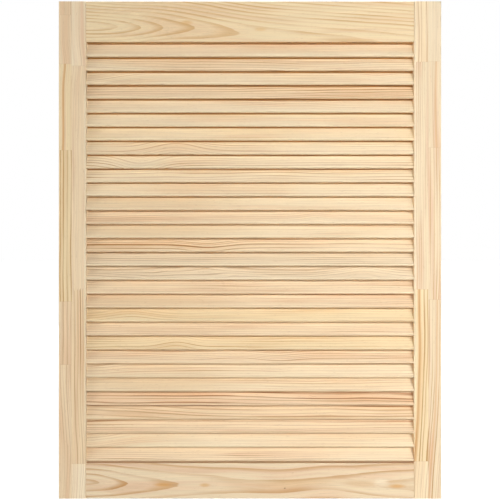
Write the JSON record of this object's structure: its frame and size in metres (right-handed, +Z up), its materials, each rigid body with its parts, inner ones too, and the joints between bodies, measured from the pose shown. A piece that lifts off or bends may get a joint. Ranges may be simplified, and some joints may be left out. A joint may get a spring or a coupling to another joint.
{
  "type": "louvred door leaf",
  "caption": "Pine louvred door leaf: stiles and rails around fixed slanted slats, which let air through a cupboard or wardrobe and hide what is inside.",
  "frame": {"origin": "centre of the hinge edge, the outer edge face of the left stile", "axes": "+X across the leaf from the hinge edge to the free edge, +Y from the front face to the back face, +Z up"},
  "size_m": [0.594, 0.02, 0.772],
  "materials": {
    "pine_stile": "planed and sanded pine, finger-jointed and edge-glued, unfinished",
    "pine_rail": "planed and sanded plain-sawn pine, unfinished",
    "pine_slat": "planed pine with bullnosed edges, unfinished"
  },
  "bodies": {
    "root": {"left_stile": "pine_stile", "right_stile": "pine_stile", "top_rail": "pine_rail", "bottom_rail": "pine_rail", "slat_01": "pine_slat", "slat_02": "pine_slat", "slat_03": "pine_slat", "slat_04": "pine_slat", "slat_05": "pine_slat", "slat_06": "pine_slat", "slat_07": "pine_slat", "slat_08": "pine_slat", "slat_09": "pine_slat", "slat_10": "pine_slat", "slat_11": "pine_slat", "slat_12": "pine_slat", "slat_13": "pine_slat", "slat_14": "pine_slat", "slat_15": "pine_slat", "slat_16": "pine_slat", "slat_17": "pine_slat", "slat_18": "pine_slat", "slat_19": "pine_slat", "slat_20": "pine_slat", "slat_21": "pine_slat", "slat_22": "pine_slat", "slat_23": "pine_slat", "slat_24": "pine_slat", "slat_25": "pine_slat", "slat_26": "pine_slat", "slat_27": "pine_slat", "slat_28": "pine_slat", "slat_29": "pine_slat", "slat_30": "pine_slat"}
  },
  "joints": []
}
